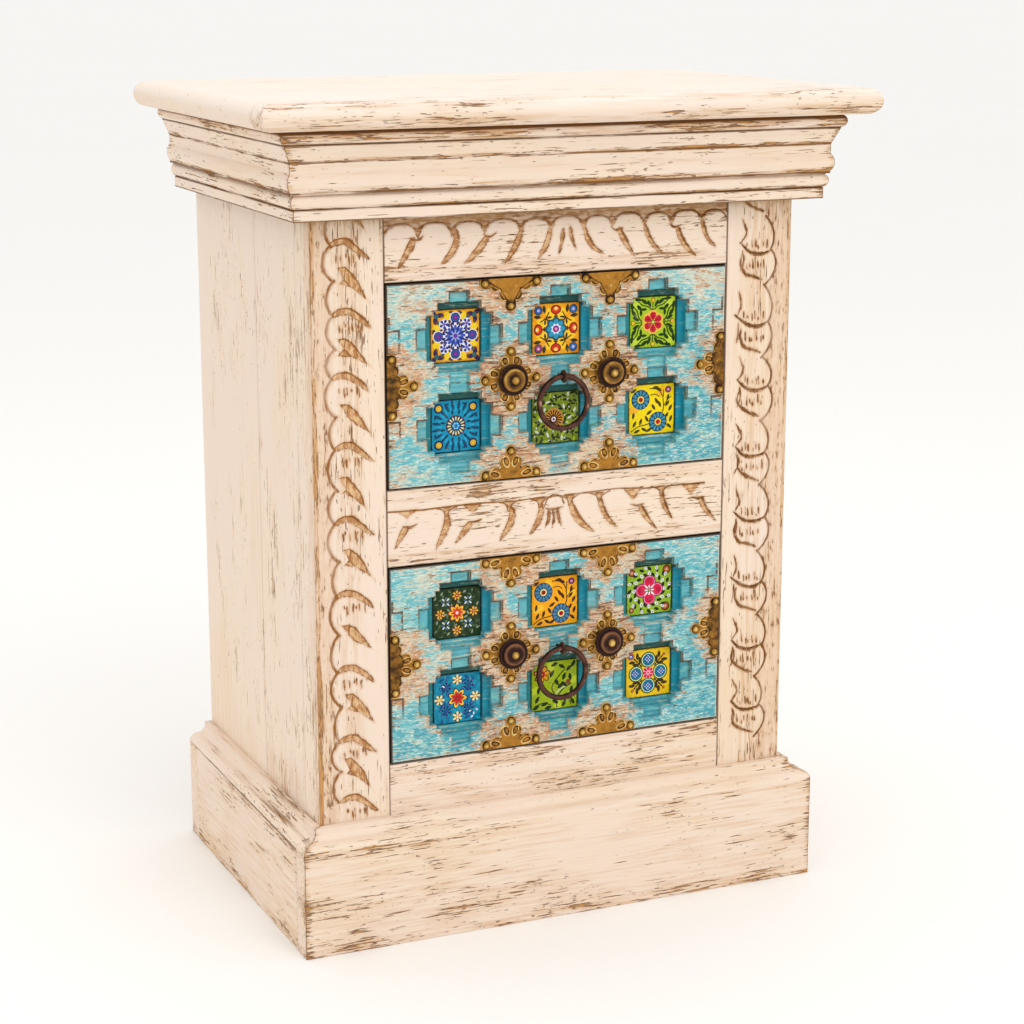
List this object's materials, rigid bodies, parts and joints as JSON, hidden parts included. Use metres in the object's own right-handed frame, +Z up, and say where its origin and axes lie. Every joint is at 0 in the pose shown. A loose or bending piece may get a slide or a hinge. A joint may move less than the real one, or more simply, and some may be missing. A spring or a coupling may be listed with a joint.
{
  "type": "nightstand",
  "caption": "Narrow bedside cabinet with stacked drawers in a carved painted frame, stepped-cross drawer fronts set with glazed tiles, brass plates, knobs and ring pulls, under a moulded crown.",
  "frame": {"origin": "centre of the footprint of the whole table, on the floor", "axes": "+X to the right along the front, +Y to the back, +Z up; the drawers open towards -Y"},
  "size_m": [0.472, 0.313, 0.61],
  "materials": {
    "cream_paint": "worn cream paint on wood, rubbed through at the edges",
    "turquoise_paint": "worn turquoise paint with pale streaks and bare wood",
    "bare_wood": "unpainted, planed",
    "tile_glaze": "glossy glaze with raised floral patterns",
    "gilt_brass": "aged, golden on the raised parts",
    "dark_brass": "dark brown patina with worn highlights",
    "screw_steel": "plain"
  },
  "bodies": {
    "carcass": {"top_board": "cream_paint", "top_nosing": "cream_paint", "crown_front": "cream_paint", "crown_left": "cream_paint", "crown_right": "cream_paint", "stile_left": "cream_paint", "stile_right": "cream_paint", "top_rail": "cream_paint", "middle_rail": "cream_paint", "bottom_rail": "cream_paint", "left_board_front": "cream_paint", "left_board_rear": "cream_paint", "right_board_front": "cream_paint", "right_board_rear": "cream_paint", "back_board_left": "bare_wood", "back_board_middle": "bare_wood", "back_board_right": "bare_wood", "floor_board": "bare_wood", "plinth_front": "cream_paint", "plinth_left": "cream_paint", "plinth_right": "cream_paint", "plinth_back": "cream_paint", "upper_runners": "bare_wood", "lower_runners": "bare_wood", "guides": "bare_wood", "kickers": "bare_wood", "stops": "bare_wood", "top_cleats": "bare_wood", "cleat_screws": "screw_steel"},
    "upper_drawer": {"upper_front": "turquoise_paint", "upper_side_left": "bare_wood", "upper_side_right": "bare_wood", "upper_back": "bare_wood", "upper_bottom": "bare_wood", "upper_tiles_top": "tile_glaze", "upper_tiles_bottom": "tile_glaze", "upper_knob_left": "dark_brass", "upper_knob_right": "dark_brass", "upper_knob_nails": "gilt_brass", "upper_rosettes": "gilt_brass", "upper_edge_plates": "gilt_brass", "upper_tacks": "gilt_brass", "upper_eye": "dark_brass"},
    "lower_drawer": {"lower_front": "turquoise_paint", "lower_side_left": "bare_wood", "lower_side_right": "bare_wood", "lower_back": "bare_wood", "lower_bottom": "bare_wood", "lower_tiles_top": "tile_glaze", "lower_tiles_bottom": "tile_glaze", "lower_knob_left": "dark_brass", "lower_knob_right": "dark_brass", "lower_knob_nails": "gilt_brass", "lower_rosettes": "gilt_brass", "lower_edge_plates": "gilt_brass", "lower_tacks": "gilt_brass", "lower_eye": "dark_brass"},
    "upper_pull": {"upper_ring": "dark_brass"},
    "lower_pull": {"lower_ring": "dark_brass"}
  },
  "joints": [
    {"name": "upper_drawer_slide", "type": "slide", "parent": "carcass", "child": "upper_drawer", "axis": [0, -1, 0], "range_m": [0, 0.19]},
    {"name": "upper_ring_swing", "type": "hinge", "parent": "upper_drawer", "child": "upper_pull", "pos_m": [0, -0.1155, 0.40875], "axis": [-1, 0, 0], "range_deg": [0, 170]},
    {"name": "lower_drawer_slide", "type": "slide", "parent": "carcass", "child": "lower_drawer", "axis": [0, -1, 0], "range_m": [0, 0.19]},
    {"name": "lower_ring_swing", "type": "hinge", "parent": "lower_drawer", "child": "lower_pull", "pos_m": [0, -0.1155, 0.20525], "axis": [-1, 0, 0], "range_deg": [0, 170]}
  ]
}
